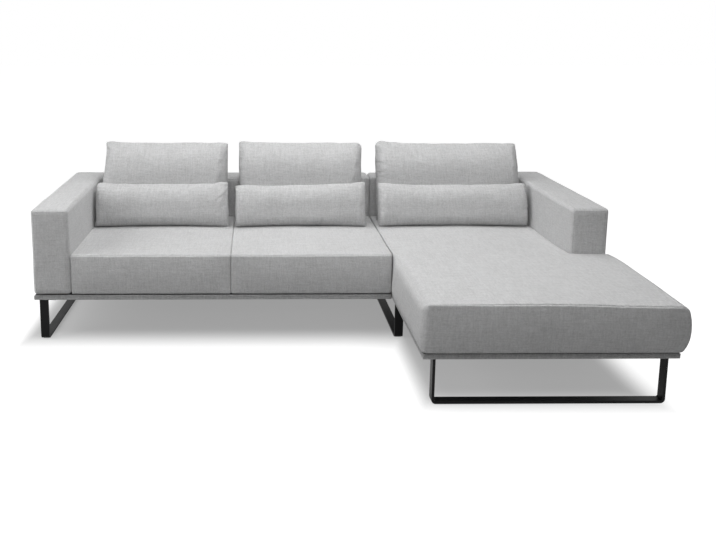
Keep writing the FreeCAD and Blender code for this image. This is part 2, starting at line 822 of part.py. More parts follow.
def build():
    os.makedirs("parts", exist_ok=True)
    seat_front = seat_swell
    left_seat = Seat("left_seat", arm_width + joint_gap, seat_split - joint_gap / 2,
                     seat_front, even_place, seat_swell)
    middle_seat = Seat("middle_seat", seat_split + joint_gap / 2, sofa_module_width,
                       seat_front, even_place, seat_swell)
    chaise_seat = Seat("chaise_seat", chaise_left, sofa_width, -chaise_reach, chaise_even_place,
                       chaise_front_swell, chaise_left_swell, chaise_right_swell,
                       notch=right_arm_left)
    for seat in (left_seat, middle_seat, chaise_seat):
        make_seat(seat)

    make_arm("left", 0, arm_width)
    make_arm("right", right_arm_left, sofa_width)
    sofa_back = (arm_width + joint_gap, sofa_module_width)
    chaise_back = (chaise_left, right_arm_left - joint_gap)
    make_back("sofa", *sofa_back)
    make_back("chaise", *chaise_back)

    side_length = module_depth - 2 * sled_setback
    left_leg = Leg(side_length, V(sled_inset + bar_width, sled_setback, 0), 90, True)
    middle_leg = Leg(side_length, V(chaise_left + middle_sled_offset + bar_width,
                                    sled_setback, 0), 90, True)
    right_leg = Leg(side_length, V(sofa_width - sled_inset, sled_setback, 0), 90)
    front_length = sofa_width - chaise_left - front_leg_inset_left - front_leg_inset_right
    front_leg = Leg(front_length, V(chaise_left + front_leg_inset_left,
                                    -chaise_reach + front_leg_setback, 0), 0)
    chaise_legs = (middle_leg, right_leg, front_leg)
    save("left_sled_leg", [left_leg.leg()])
    save("left_sled_glides", left_leg.glides())
    save("left_sled_screws", left_leg.screws())
    save("middle_sled_leg", [middle_leg.leg()])
    save("right_sled_leg", [right_leg.leg()])
    save("chaise_front_leg", [front_leg.leg()])
    save("chaise_leg_glides", [pad for leg in chaise_legs for pad in leg.glides()])
    save("chaise_leg_screws", [one for leg in chaise_legs for one in leg.screws()])

    links = link_places()
    save("link_brackets", [link_bracket(y) for y in links])
    link_screws = [place for y in links for place in link_screw_places(y)]
    save("link_screws", [wood_screw(x, y, leg_height - link_plate, leg_screw_length + link_plate)
                         for x, y in link_screws])
    save("link_bushes", [link_bush(y) for y in links])

    sofa_places = arm_screw_places(0, arm_width) + back_screw_places(*sofa_back)
    sofa_places += seat_screw_places(left_seat) + seat_screw_places(middle_seat)
    bush_x = sofa_module_width - link_overlap / 2
    make_plinth("sofa", 0, sofa_module_width, 0, module_depth, sofa_places,
                left_leg.screw_places(), [(bush_x, y) for y in links])
    chaise_places = arm_screw_places(right_arm_left, sofa_width)
    chaise_places += back_screw_places(*chaise_back) + seat_screw_places(chaise_seat)
    leg_places = [place for leg in chaise_legs for place in leg.screw_places()]
    make_plinth("chaise", chaise_left, sofa_width, -chaise_reach, module_depth, chaise_places,
                leg_places + link_screws, [])

    make_cushions((
        ("left", left_seat, arm_width, seat_split),
        ("middle", middle_seat, seat_split, sofa_module_width),
        ("right", chaise_seat, chaise_left, right_arm_left),
    ))


build()
print(len(saved), "nodes,", sum(count for name, count, volume in saved), "solids")
for name, count, volume in saved:
    print(name, count, round(volume / 1000), "cm3")
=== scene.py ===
import json
import math

import bpy
import numpy as np
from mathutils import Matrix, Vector


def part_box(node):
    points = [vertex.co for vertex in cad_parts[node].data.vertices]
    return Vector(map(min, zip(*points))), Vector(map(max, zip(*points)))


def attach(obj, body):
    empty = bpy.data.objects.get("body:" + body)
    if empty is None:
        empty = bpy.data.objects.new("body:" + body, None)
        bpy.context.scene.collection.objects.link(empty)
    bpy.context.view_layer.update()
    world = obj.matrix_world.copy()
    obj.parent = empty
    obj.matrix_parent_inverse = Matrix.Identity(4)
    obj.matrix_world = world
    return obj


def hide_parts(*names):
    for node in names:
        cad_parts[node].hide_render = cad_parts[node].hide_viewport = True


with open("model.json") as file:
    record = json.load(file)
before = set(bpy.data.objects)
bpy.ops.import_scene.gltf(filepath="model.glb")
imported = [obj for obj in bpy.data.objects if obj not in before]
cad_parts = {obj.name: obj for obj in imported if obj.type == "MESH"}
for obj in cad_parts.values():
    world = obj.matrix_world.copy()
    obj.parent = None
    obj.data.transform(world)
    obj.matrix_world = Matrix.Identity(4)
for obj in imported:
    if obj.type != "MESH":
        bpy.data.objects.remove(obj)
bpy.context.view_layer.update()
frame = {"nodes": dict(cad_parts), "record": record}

# Sizes of the sewn forms, in metres
mm = 0.001
unit_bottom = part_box("left_arm_cover")[0].z
edge_round = 18 * mm          # rounded edges of the arms and low backs
block_rise = 5 * mm           # padding over them
face_puff = 3 * mm            # how far their faces swell between the edges
face_drift = 0.8 * mm         # how uneven the faces are
farthest_in = 1 * mm          # limits of both
farthest_out = 4 * mm
panel_seam_inset = 17 * mm    # seams of their front and rear panels, in from the outline
seam_tension = 0.5 * mm       # ripples beside these seams
seam_tension_reach = 12 * mm
arm_lean = 4 * mm             # how far the arms' tops rise to the rear, from their middle
seam_depth = 2.2 * mm
seam_width = 2.4 * mm
seat_round = 8 * mm           # edges of the seats
rear_round = 20 * mm          # their rear upper edge
left_round = 55 * mm          # softer edge along the left of the chaise
left_fade_end = 0.03          # it gets sharper again up to here behind the arm's front,
left_fade = 0.12              # over this length,
front_fade = 0.09             # and over this length at the front
left_corner = 24 * mm         # upright edge at its front end
right_round = 30 * mm         # upper edge of the chaise's free right side
right_corner = 21 * mm        # upright edges at its ends
seam_height = 0.446           # front seam of the sofa's seats
seat_top = 0.458              # top of the seats' crowns
chaise_front_height = 0.456
chaise_corner_drop = 13 * mm  # the chaise's front seam falls by this towards the right,
drop_start = 0.45             # from this share of its width on
drop_reach = 0.7              # the top falls with it over this depth
chaise_right_swell = 41 * mm
chaise_left_swell = 21 * mm
swell_reach = 0.2             # how far in both go, as a share of the width
seat_front_puff = 11 * mm
front_puff_reach = 0.03
seat_pucker = 0.7 * mm        # ripples along the front seam, and their reach
seat_pucker_reach = 10 * mm
seat_fold = 0.8 * mm
seat_fold_reach = 28 * mm
seat_drift = 1.0 * mm         # how uneven the seats are
seat_creases = 0.35 * mm      # fine creases of their fronts
crown_reach = 0.28            # a seat rises to its full height over this depth
notch_reach = 0.4             # the chaise narrows beside the right arm over this depth
arm_clear = 0.0006            # between the chaise's seat and the right arm
cushion_sink = 4 * mm         # how far the loose cushions press the seats down
cushions_front = 0.36         # where that begins
cushions_reach = 0.10         # and over what depth
plinth_round = 3 * mm
plinth_drift = 0.35 * mm
plinth_lip = 0.9 * mm         # the wrap's edge stands up beside the bare board
# painted shade: dark felt stands in for the shade of the gap above the plinth
strip_inset = 7 * mm          # dark strip above the plinth, in from its edge
strip_sink = 0.0002           # so that its faces don't coincide with others
cushion_lean = math.radians(8)
slide_clear = 1 * mm
rest_clear = 0.6 * mm
back_thickness = 0.170
pillow_seam_share = 0.42      # place of a cushion's seam within its thickness
pillow_foot = -0.016          # the foot seam, up the lean from the seat's seam height
corner_dip = 5 * mm           # the head seam falls by this at each end
corner_dip_reach = 0.03
head_waver = 1.0 * mm         # how unevenly the head seam runs
side_waver = 0.9 * mm         # and the side seams
pucker_start = 3 * mm         # folds beside the seams: where they begin,
fine_pucker = 3.4 * mm        # how high they are and how far they run in
fine_pucker_reach = 14 * mm
wide_pucker = 2.2 * mm
wide_pucker_reach = 35 * mm
gather_depth = 1.9 * mm       # of a gather whose depth is one
gather_width = 6 * mm
gather_groove = 14 * mm       # a shallower fold runs beside it, at this distance
gather_groove_width = 9 * mm
lump_height = 1.6 * mm        # uneven filling
lump_reach = 0.08             # it starts over this distance from the side seams

# Widths of the meshes, in metres
closest_ticks = 0.0011
round_turns = 4               # mesh lines over a rounded edge
block_step = 0.012
seat_step = 0.008
plinth_steps = (0.02, 0.02, 0.006)
strip_step = 0.05
pillow_step = 0.006
trial_step = 0.013            # while a cushion is blown up as cloth
across_crowding = 0.085       # how far a cushion's lines move towards its seams
upward_crowding = 0.03

# The cloth of a cushion while it is blown up
cloth_pressure = 4.0
cloth_frames = 20
cloth_cap = 0.010             # farthest that it may move a point

# Painted shade: these pieces' cloth is darkened by these shares, matched to how dark they look
# against the plain cloth
right_arm_painted_shade = 0.06
pillows_painted_shade = 0.07
# on the plinths the painted shade stands in for the shade under the overhanging seats and arms
plinth_painted_shade = 0.15          # at its foot
plinth_top_painted_shade = 0.35      # added to that towards its top

# Keep the panels from repeating each other's cloth, folds and lumps
block_panels_apart = 3.7
pillow_panels_apart = 2.3
rear_seeds_apart = 50
rear_lumps_apart = 9

# Meshes


def ticks(start, end, step, rounds=((), ()), marks=()):
    """Places from start to end: fine over the rounded ends and at the marks, else even."""
    inner = [start + max(rounds[0], default=0), *marks, end - max(rounds[1], default=0)]
    places = [start, end]
    for first, last in zip(inner[:-1], inner[1:]):
        count = max(1, round((last - first) / step))
        places += list(np.linspace(first, last, count + 1))
    for side, radii, sign in ((start, rounds[0], 1), (end, rounds[1], -1)):
        for radius in radii:
            for turn in range(round_turns + 1):
                slope = math.tan(math.pi / 4 * turn / round_turns)
                places.append(side + sign * radius * (1 - slope))
    for mark in marks:
        places += [mark + offset * seam_width for offset in (-2, -1, 0, 1, 2)]
    places = np.unique(np.round(places, 6))
    keep = [places[0]]
    for place in places[1:]:
        if place - keep[-1] > closest_ticks:
            keep.append(place)
    keep[-1] = places[-1]
    return np.array(keep)


def lattice(xs, ys, zs, notch=None):
    """Skin of a block of cells, less those beyond the notch: points, quads, each quad's axis."""
    counts = (len(xs), len(ys), len(zs))
    solid = np.ones([count - 1 for count in counts], int)
    if notch:
        beyond_x = (xs[1:] + xs[:-1]) / 2 > notch[0]
        beyond_y = (ys[1:] + ys[:-1]) / 2 > notch[1]
        solid[np.ix_(beyond_x, beyond_y)] = 0
    padded = np.pad(solid, 1)
    numbers = np.arange(np.prod(counts)).reshape(counts)
    quads = []
    axes = []
    for axis in range(3):
        b = (axis + 1) % 3
        c = (axis + 2) % 3
        inner = [slice(None)] * 3
        inner[b] = inner[c] = slice(1, -1)
        step = np.diff(padded, axis=axis)[tuple(inner)]
        for sign in (1, -1):
            cells = np.argwhere(step == -sign)
            corners = []
            for go_b, go_c in ((0, 0), (1, 0), (1, 1), (0, 1)):
                place = cells.copy()
                place[:, b] += go_b
                place[:, c] += go_c
                corners.append(numbers[tuple(place.T)])
            quad = np.stack(corners, 1)[:, ::sign]
            quads.append(quad)
            axes.append(np.full(len(quad), axis * sign + (0 if axis else 3 * sign)))
    quads = np.concatenate(quads)
    axes = np.concatenate(axes)
    used, numbers = np.unique(quads, return_inverse=True)
    i, j, k = np.unravel_index(used, counts)
    points = np.stack([xs[i], ys[j], zs[k]], 1)
    return points, numbers.reshape(quads.shape), axes


def flat_places(points, quads, axes):
    """Place of each quad corner on its flat panel of cloth, a panel's number as third value."""
    across = {1: (0, 2), 2: (0, 1), 3: (1, 2)}
    places = np.zeros((len(quads), 4, 3))
    for axis in np.unique(axes):
        chosen = axes == axis
        u, v = across[abs(int(axis))]
        corner = points[quads[chosen]]
        places[chosen, :, :2] = corner[:, :, [u, v]]
        places[chosen, :, 2] = block_panels_apart * axis
    return places


def block_skin(low, high, steps, radius, marks=((), (), ())):
    """Skin of a whole block, with finer quads over its edges: points, quads, flat places."""
    ends = ((radius,), (radius,))
    lines = [ticks(low[axis], high[axis], steps[axis], ends, marks[axis]) for axis in range(3)]
    points, quads, axes = lattice(*lines)
    return points, quads, flat_places(points, quads, axes)


def rounded(points, low, high, radius):
    """Points of a sharp block moved on to its rounded skin, with their outward directions."""
    core = np.clip(points, low + radius, high - radius)
    away = points - core
    out = away / np.linalg.norm(away, axis=1)[:, None]
    return core + out * radius, out


def pulled_in(distance_a, distance_b, radius):
    """How far points beside two edges move in from each, on to the rounding between them."""
    a = np.clip(radius - distance_a, 0, None)
    b = np.clip(radius - distance_b, 0, None)
    reach = np.maximum(np.hypot(a, b), 1e-9)
    share = np.where((a > 0) & (b > 0), 1 - np.maximum(a, b) / reach, 0)
    return a * share, b * share


def grid_quads(grid):
    """The four corners of each quad of a grid of numbers or places."""
    corners = np.stack([grid[:-1, :-1], grid[1:, :-1], grid[1:, 1:], grid[:-1, 1:]], 2)
    return corners.reshape(-1, *corners.shape[2:])


def put(name, data):
    """New object of the data in the scene."""
    made = bpy.data.objects.new(name, data)
    bpy.context.scene.collection.objects.link(made)
    return made


def give(mesh, name, values):
    """Adds a value at each point, or the same value at all, as an attribute of the name."""
    layer = mesh.attributes.new(name, "FLOAT", "POINT")
    values = np.broadcast_to(values, len(mesh.vertices))
    layer.data.foreach_set("value", values.astype(np.float32))


def build(name, points, quads, places, smooth_levels=0):
    """Mesh object of the points and quads, with the flat places of the cloth as an attribute."""
    mesh = bpy.data.meshes.new(name)
    mesh.vertices.add(len(points))
    mesh.vertices.foreach_set("co", np.asarray(points, np.float32).ravel())
    mesh.loops.add(quads.size)
    mesh.loops.foreach_set("vertex_index", quads.ravel().astype(np.int32))
    mesh.polygons.add(len(quads))
    mesh.polygons.foreach_set("loop_start", np.arange(0, quads.size, 4, dtype=np.int32))
    mesh.polygons.foreach_set("use_smooth", np.ones(len(quads), bool))
    mesh.update(calc_edges=True)
    mesh.validate()
    cloth = mesh.attributes.new("cloth", "FLOAT_VECTOR", "CORNER")
    cloth.data.foreach_set("vector", np.asarray(places, np.float32).ravel())
    piece = put(name, mesh)
    if smooth_levels:
        subdivision = piece.modifiers.new("finer", "SUBSURF")
        subdivision.levels = subdivision.render_levels = smooth_levels
    return piece


def outward(points, quads):
    """Outward direction at each point of a closed skin of quads."""
    corner = points[quads]
    across = np.cross(corner[:, 2] - corner[:, 0], corner[:, 3] - corner[:, 1])
    total = np.zeros_like(points)
    for index in range(4):
        np.add.at(total, quads[:, index], across)
    return total / np.maximum(np.linalg.norm(total, axis=1), 1e-12)[:, None]


def blown_up(points, quads):
    """Moves of a closed skin that is blown up as cloth for a moment."""
    mesh = bpy.data.meshes.new("trial")
    mesh.from_pydata(points.tolist(), [], quads.tolist())
    trial = put("trial", mesh)
    cloth = trial.modifiers.new("cloth", "CLOTH")
    settings = cloth.settings
    settings.use_pressure = True
    settings.uniform_pressure_force = cloth_pressure
    settings.effector_weights.gravity = 0
    settings.quality = 6
    settings.mass = 0.25
    settings.bending_stiffness = 0.4
    cloth.point_cache.frame_start = 1
    cloth.point_cache.frame_end = cloth_frames
    for number in range(1, cloth_frames + 1):
        bpy.context.scene.frame_set(number)
    blown = trial.evaluated_get(bpy.context.evaluated_depsgraph_get()).data
    after = np.empty(len(points) * 3, np.float32)
    blown.vertices.foreach_get("co", after)
    bpy.data.objects.remove(trial)
    bpy.data.meshes.remove(mesh)
    bpy.context.scene.frame_set(1)
    moves = after.reshape(-1, 3) - points
    moves -= moves.mean(0)
    length = np.linalg.norm(moves, axis=1)[:, None]
    return moves * cloth_cap * np.tanh(length / cloth_cap) / np.maximum(length, 1e-9)


def curve_weights(known, wanted):
    """Weights that draw smooth curves through values at the known places."""
    place = np.interp(wanted, known, np.arange(len(known)))
    index = np.minimum(place.astype(int), len(known) - 2)
    f = place - index
    shares = (-0.5 * f + f ** 2 - 0.5 * f ** 3, 1 - 2.5 * f ** 2 + 1.5 * f ** 3,
              0.5 * f + 2 * f ** 2 - 1.5 * f ** 3, -0.5 * f ** 2 + 0.5 * f ** 3)
    weights = np.zeros((len(wanted), len(known)))
    for offset, share in zip((-1, 0, 1, 2), shares):
        column = np.clip(index + offset, 0, len(known) - 1)
        np.add.at(weights, (np.arange(len(wanted)), column), share)
    return weights


# Irregular but repeatable shapes


class Ripple:
    """Uneven waves along a line, about one high."""

    def __init__(self, seed, shortest, longest, count=9):
        random = np.random.default_rng(seed)
        self.waves = 2 * math.pi / random.uniform(shortest, longest, count)
        self.starts = random.uniform(0, 2 * math.pi, count)

    def __call__(self, place):
        waves = np.sin(np.multiply.outer(place, self.waves) + self.starts)
        return waves.sum(-1) / math.sqrt(len(self.waves))


def unevenness(points, seed, shortest, longest, count=24):
    """The same in space."""
    random = np.random.default_rng(seed)
    heading = random.normal(size=(count, 3))
    heading /= np.linalg.norm(heading, axis=1)[:, None]
    heading *= (2 * math.pi / random.uniform(shortest, longest, count))[:, None]
    waves = np.sin(points @ heading.T + random.uniform(0, 2 * math.pi, count))
    return waves.sum(1) / math.sqrt(count)


def near(distance, width):
    """One on a line, falling to zero beside it."""
    return np.exp(-(distance / width) ** 2)


def smooth(value):
    """Rises without kinks from zero to one while the value does."""
    value = np.clip(value, 0, 1)
    return value * value * (3 - 2 * value)


def belly(height, fullest, top_loss, top_power, foot_loss, foot_power):
    """How far a side stands out: one where it is fullest, and less above and below."""
    above = np.clip((height - fullest) / (1 - fullest), 0, 1)
    below = np.clip((fullest - height) / fullest, 0, 1)
    return 1 - top_loss * above ** top_power - foot_loss * below ** foot_power


# Materials


class Tree:
    """The nodes of a material or world while they are wired."""

    def __init__(self, owner):
        owner.use_nodes = True
        self.nodes = owner.node_tree.nodes
        self.links = owner.node_tree.links

    def node(self, kind, inputs=(), **settings):
        made = self.nodes.new("ShaderNode" + kind)
        for name, value in settings.items():
            setattr(made, name, value)
        for key, value in dict(inputs).items():
            if isinstance(value, bpy.types.NodeSocket):
                self.links.new(value, made.inputs[key])
            else:
                made.inputs[key].default_value = value
        return made

    def maths(self, operation, *values):
        made = self.node("Math", dict(enumerate(values)), operation=operation)
        return made.outputs[0]

    def attribute(self, name, output="Vector"):
        made = self.node("Attribute", attribute_name=name, attribute_type="GEOMETRY")
        return made.outputs[output]

    def seen(self):
        """One for the rays that look, directly or in gloss, and zero for those that light."""
        rays = self.node("LightPath").outputs
        looking = self.maths("MAXIMUM", rays["Is Camera Ray"], rays["Is Glossy Ray"])
        return self.maths("MAXIMUM", looking, rays["Is Transmission Ray"])


class Shader(Tree):
    """A surface's material, with patterns in the cloth's flat places or in the object."""

    def __init__(self, name, cloth=False, **surface):
        self.material = bpy.data.materials.new(name)
        super().__init__(self.material)
        self.surface = self.nodes["Principled BSDF"]
        for socket, value in surface.items():
            self.surface.inputs[socket.replace("_", " ")].default_value = value
        self.place = self.attribute("cloth") if cloth else self.node("TexCoord").outputs["Object"]

    def stretched(self, scale):
        made = self.node("VectorMath", {0: self.place, 1: scale}, operation="MULTIPLY")
        return made.outputs[0]

    def noise(self, scale, detail, roughness=0.5):
        """Noise, zero on average and about half a unit either way."""
        made = self.node("TexNoise", {"Vector": self.stretched(scale), "Scale": 1.0,
                                      "Detail": detail, "Roughness": roughness})
        return self.maths("SUBTRACT", made.outputs["Fac"], 0.5)

    def mixture(self, parts):
        """Sum of the parts, each times its weight."""
        total = None
        for part, weight in parts:
            value = self.maths("MULTIPLY", part, weight)
            total = value if total is None else self.maths("ADD", total, value)
        return total

    def shade(self, colour, *parts):
        """The colour, made lighter and darker by the parts."""
        factor = self.maths("ADD", self.mixture(parts), 1.0)
        made = self.node("VectorMath", {0: colour, "Scale": factor}, operation="SCALE")
        self.links.new(made.outputs[0], self.surface.inputs["Base Color"])

    def relief(self, height, depth, strength):
        made = self.node("Bump", {"Height": height, "Distance": depth, "Strength": strength})
        self.links.new(made.outputs[0], self.surface.inputs["Normal"])

    def roughen(self, middle, *parts):
        value = self.maths("ADD", self.mixture(parts), middle)
        self.links.new(value, self.surface.inputs["Roughness"])


def woven_fabric():
    """Light grey plain weave of uneven, mottled yarn, darkened by the points' painted shade."""
    shader = Shader("woven_fabric_light_grey", cloth=True, Roughness=0.92, Sheen_Weight=0.18,
                    Sheen_Roughness=0.45, Specular_IOR_Level=0.25)
    yarns = 420.0
    weft = shader.noise((45, yarns, 1), 2)
    warp = shader.noise((yarns, 45, 1), 2)
    over = shader.node("TexChecker", {"Vector": shader.place, "Scale": yarns}).outputs["Fac"]
    threads = shader.node("Mix", {0: over, 2: weft, 3: warp}, data_type="FLOAT").outputs[0]
    slub_weft = shader.noise((16, 150, 1), 3)
    slub_warp = shader.noise((150, 16, 1), 3)
    mottle = shader.noise((130, 130, 1), 3, 0.6)
    broad = shader.noise((6, 6, 1), 2)
    # painted shade: each point's share darkens the cloth's colour
    painted_shade = shader.attribute("painted_shade", "Fac")
    shader.shade((0.585, 0.586, 0.588), (threads, 0.42), (slub_weft, 0.27), (slub_warp, 0.27),
                 (mottle, 0.40), (broad, 0.06), (painted_shade, -1.0))
    ridges = []
    for row in ("X", "Y"):
        wave = shader.node("TexWave", {"Vector": shader.place, "Scale": yarns / (2 * math.pi),
                                       "Distortion": 0.0}, bands_direction=row)
        ridges.append((wave.outputs["Fac"], 0.5))
    height = shader.mixture([
        *ridges, (threads, 0.9), (slub_weft, 1.7), (slub_warp, 1.7), (mottle, 2.2)])
    shader.relief(height, 1.1 * mm, 0.75)
    return shader.material


def powder_coat(name, colour, roughness):
    shader = Shader(name, Metallic=0.0, Specular_IOR_Level=0.12)
    grain = shader.noise((900, 900, 900), 2)
    patches = shader.noise((9, 9, 9), 3)
    shader.shade(colour, (grain, 0.25), (patches, 0.2))
    shader.roughen(roughness, (grain, 0.15), (patches, 0.12))
    shader.relief(grain, 0.12 * mm, 0.5)
    return shader.material


def plain_metal(name, colour, roughness):
    shader = Shader(name, Metallic=1.0)
    brushed = shader.noise((60, 900, 900), 2)
    patches = shader.noise((40, 40, 40), 3)
    shader.shade(colour, (brushed, 0.2), (patches, 0.25))
    shader.roughen(roughness, (brushed, 0.2), (patches, 0.2))
    shader.relief(brushed, 0.03 * mm, 0.5)
    return shader.material


def timber():
    shader = Shader("sawn_timber", Specular_IOR_Level=0.3)
    rings = shader.node("TexWave", {"Vector": shader.stretched((4, 30, 30)), "Scale": 1.0,
                                    "Distortion": 6.0, "Detail": 3.0, "Detail Scale": 1.5},
                        bands_direction="DIAGONAL").outputs["Fac"]
    fibre = shader.noise((25, 700, 700), 3)
    shader.shade((0.52, 0.36, 0.21), (rings, -0.28), (fibre, 0.5))
    shader.roughen(0.68, (fibre, 0.2))
    shader.relief(shader.mixture([(rings, 0.5), (fibre, 1.0)]), 0.25 * mm, 0.6)
    return shader.material


def moulded_plastic(name, colour, roughness):
    shader = Shader(name, Specular_IOR_Level=0.5)
    grain = shader.noise((1500, 1500, 1500), 2)
    shader.shade(colour, (grain, 0.15))
    shader.roughen(roughness, (grain, 0.2))
    shader.relief(grain, 0.05 * mm, 0.6)
    return shader.material


def matted_fibre(name, colour, scale):
    shader = Shader(name, Roughness=0.95, Sheen_Weight=0.2)
    fibres = shader.noise((scale, scale, scale), 6, 0.7)
    patches = shader.noise((25, 25, 25), 2)
    shader.shade(colour, (fibres, 0.7), (patches, 0.2))
    shader.relief(fibres, 0.8 * mm, 0.7)
    return shader.material


slot_materials = {
    "woven_fabric": woven_fabric(),
    "foam": matted_fibre("cut_foam", (0.62, 0.58, 0.44), 500),
    "felt": matted_fibre("needle_felt", (0.06, 0.06, 0.062), 260),
    "webbing": matted_fibre("elastic_webbing", (0.055, 0.05, 0.045), 700),
    "timber": timber(),
    "spring_steel": plain_metal("spring_steel", (0.42, 0.41, 0.40), 0.38),
    "zinc_steel": plain_metal("zinc_plated_steel", (0.68, 0.69, 0.70), 0.32),
    "black_steel": powder_coat("black_powder_coat", (0.006, 0.006, 0.0063), 0.42),
    "glide_plastic": moulded_plastic("glide_plastic", (0.02, 0.02, 0.02), 0.5),
    "bush_plastic": moulded_plastic("bush_plastic", (0.75, 0.75, 0.73), 0.4),
}


def dress_cad_nodes():
    """Gives each node of the frame the finish of its slot."""
    for row in frame["record"]["subparts"]:
        cad = frame["nodes"][row["node"]]
        cad.data.materials.clear()
        cad.data.materials.append(slot_materials[row["material_slot"]])


def finish_piece(piece, body, nodes, slot="woven_fabric"):
    piece.data.materials.append(slot_materials[slot])
    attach(piece, body)
    if nodes:
        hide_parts(*nodes)


# Upholstered blocks: arms, low backs and plinths


def swell(points, low, high, out):
    """Puffs each face of a block out between its edges."""
    share = (points - low) / (high - low) * 2 - 1
    flat = 1 - np.clip(np.abs(share), 0, 1) ** 4
    lift = np.zeros(len(points))
    for axis in range(3):
        b = (axis + 1) % 3
        c = (axis + 2) % 3
        lift += np.abs(out[:, axis]) ** 3 * flat[:, b] * flat[:, c]
    return points + out * (lift * face_puff)[:, None]


def upholstered_block(name, node, seed, lean):
    low, high = map(np.array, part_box(node))
    high[2] += block_rise
    marks = [(low[axis] + panel_seam_inset, high[axis] - panel_seam_inset) for axis in (0, 2)]
    sharp, quads, places = block_skin(low, high, (block_step,) * 3, edge_round,
                                      (marks[0], (), marks[1]))
    points, out = rounded(sharp, low, high, edge_round)
    beside = np.minimum(sharp - low, high - sharp)
    from_seam = np.minimum(beside[:, 0], beside[:, 2]) - panel_seam_inset
    on_panels = np.abs(out[:, 1]) > 0.7
    groove = seam_depth * near(from_seam, seam_width) * on_panels
    pucker = Ripple(seed, 0.018, 0.05)
    along = sharp[:, 0] + sharp[:, 2]
    tension = seam_tension * pucker(along) * near(from_seam, seam_tension_reach) * on_panels
    drift = face_drift * unevenness(sharp, seed + 1, 0.12, 0.35)
    points = swell(points, low, high, out)
    points += out * (tension + drift - groove)[:, None]
    points = np.clip(points, low - farthest_in, high + farthest_out)
    rearward, upward = ((sharp - low) / (high - low))[:, 1:].T
    points[:, 2] += lean * (rearward * 2 - 1) * upward
    points[:, 2] = np.maximum(points[:, 2], low[2])
    return build(name, points, quads, places)


def make_arms_and_backs():
    # the last value of each unit is its painted shade share
    units = (
        ("left_arm", "sofa_module", 11, arm_lean, 0),
        ("right_arm", "chaise_module", 12, arm_lean, right_arm_painted_shade),
        ("sofa_back", "sofa_module", 13, 0, 0), ("chaise_back", "chaise_module", 14, 0, 0),
    )
    for unit, body, seed, lean, painted_shade_share in units:
        piece = upholstered_block(unit + "_upholstery", unit + "_cover", seed, lean)
        give(piece.data, "painted_shade", painted_shade_share)
        finish_piece(piece, body, [unit + "_cover", unit + "_padding"])


def plinth_wrap(name, node, seed):
    low, high = map(np.array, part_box(node))
    sharp, quads, places = block_skin(low, high, plinth_steps, plinth_round)
    points, out = rounded(sharp, low, high, plinth_round)
    upright = 1 - np.abs(out[:, 2])
    points += out * (plinth_drift * upright * unevenness(sharp, seed, 0.03, 0.12))[:, None]
    inward = np.minimum(sharp - low, high - sharp)[:, :2].min(1)
    at_top = sharp[:, 2] > high[2] - 0.1 * mm
    points[:, 2] += plinth_lip * (at_top & (inward < plinth_round + 1 * mm))
    piece = build(name, points, quads, places)
    # painted shade under the overhanging seats and arms, deepest at the plinth's top
    upward = (sharp[:, 2] - low[2]) / (high[2] - low[2])
    give(piece.data, "painted_shade", plinth_painted_shade + plinth_top_painted_shade * upward)
    return piece


def shadow_strip(name, node):
    """Dark felt between a plinth and the units on it, set back from their edges: painted shade
    standing in for the shade of that gap.
    """
    low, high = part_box(node)
    xs = ticks(low.x + strip_inset, high.x - strip_inset, strip_step)
    ys = ticks(low.y + strip_inset, high.y - strip_inset, strip_step)
    zs = np.array([high.z, unit_bottom]) - strip_sink
    points, quads, axes = lattice(xs, ys, zs)
    return build(name, points, quads, flat_places(points, quads, axes))


def make_plinths():
    for side, seed in (("sofa", 21), ("chaise", 22)):
        body = side + "_module"
        node = side + "_plinth_cover"
        finish_piece(plinth_wrap(side + "_plinth_fabric", node, seed), body, [node])
        # painted shade: a dark felt strip in the shadow gap
        finish_piece(shadow_strip(side + "_shadow_strip", node), body, [], slot="felt")


# Seats


